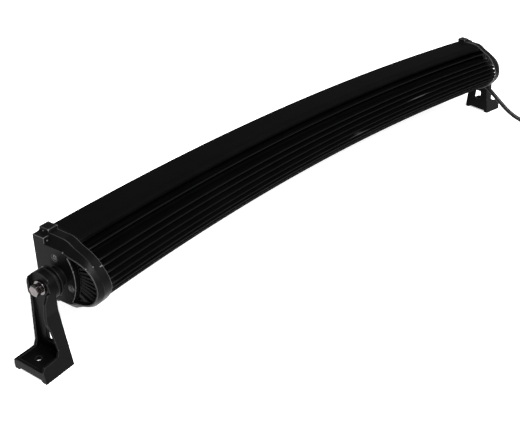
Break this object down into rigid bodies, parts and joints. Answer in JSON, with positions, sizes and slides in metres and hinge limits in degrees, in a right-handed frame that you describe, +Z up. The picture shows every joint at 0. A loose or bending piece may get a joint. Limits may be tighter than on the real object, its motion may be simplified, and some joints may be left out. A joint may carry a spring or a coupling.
{
  "type": "led light bar",
  "caption": "Curved double-row lamp bar with a finned black aluminium housing, bevelled end caps, two tilting foot brackets and a short supply cord",
  "frame": {"origin": "middle of the bounding box in X and Y, on the floor under the bracket feet, the supply cord left out", "axes": "+X along the bar to its right end, +Y backwards to the fins, away from the beam, +Z up"},
  "size_m": [0.9506, 0.2509, 0.1265],
  "materials": {
    "black_screw": "black oxide",
    "board": "white solder mask on an aluminium board",
    "bracket": "satin black coated die casting",
    "cap": "satin black coated die casting",
    "chip": "yellow phosphor over a white package",
    "connector": "moulded nylon",
    "cord": "black sheath, slightly glossy",
    "cord_rubber": "moulded rubber",
    "driver_part": "moulded coils and cans",
    "gland": "moulded nylon",
    "housing": "matt black powder coat on aluminium",
    "lens": "clear polycarbonate",
    "reflector": "vacuum metallised plastic",
    "rubber": "matt rubber",
    "silicone": "soft silicone",
    "stainless": "bright stainless",
    "steel_screw": "zinc plated",
    "tin": "tin plated",
    "vent": "moulded nylon",
    "wire": "insulated copper"
  },
  "bodies": {
    "light_bar": {"board_screws": "steel_screw", "breather_vent": "vent", "cable": "cord", "cable_coil": "cord", "cable_gland": "gland", "cable_tail": "cord", "cap_gasket_left": "silicone", "cap_gasket_right": "silicone", "cap_screws_left": "black_screw", "cap_screws_right": "black_screw", "connector": "connector", "connector_pins": "tin", "driver_board": "board", "driver_parts": "driver_part", "end_cap_left": "cap", "end_cap_right": "cap", "flat_washer_left": "stainless", "flat_washer_right": "stainless", "gland_seal": "silicone", "housing": "housing", "led_board_centre": "board", "led_board_left": "board", "led_board_right": "board", "led_chips": "chip", "lens": "lens", "lens_seal_bottom": "silicone", "lens_seal_top": "silicone", "pivot_bolt_left": "stainless", "pivot_bolt_right": "stainless", "pivot_insert_left": "stainless", "pivot_insert_right": "stainless", "reflector_centre": "reflector", "reflector_left": "reflector", "reflector_right": "reflector", "rubber_spacer_left": "rubber", "rubber_spacer_right": "rubber", "spring_washer_left": "stainless", "spring_washer_right": "stainless", "strain_relief": "cord_rubber", "supply_wires": "wire"},
    "bracket_right_body": {"bracket_right": "bracket"},
    "bracket_left_body": {"bracket_left": "bracket"}
  },
  "joints": [
    {"name": "tilt_right", "type": "hinge", "parent": "light_bar", "child": "bracket_right_body", "pos_m": [0.4394, 0.00535, 0.08375], "axis": [0.9899, 0.1418, 0], "range_deg": [-90, 90]},
    {"name": "tilt_left", "type": "hinge", "parent": "light_bar", "child": "bracket_left_body", "pos_m": [-0.4394, 0.00535, 0.08375], "axis": [0.9899, -0.1418, 0], "range_deg": [-90, 90]}
  ]
}
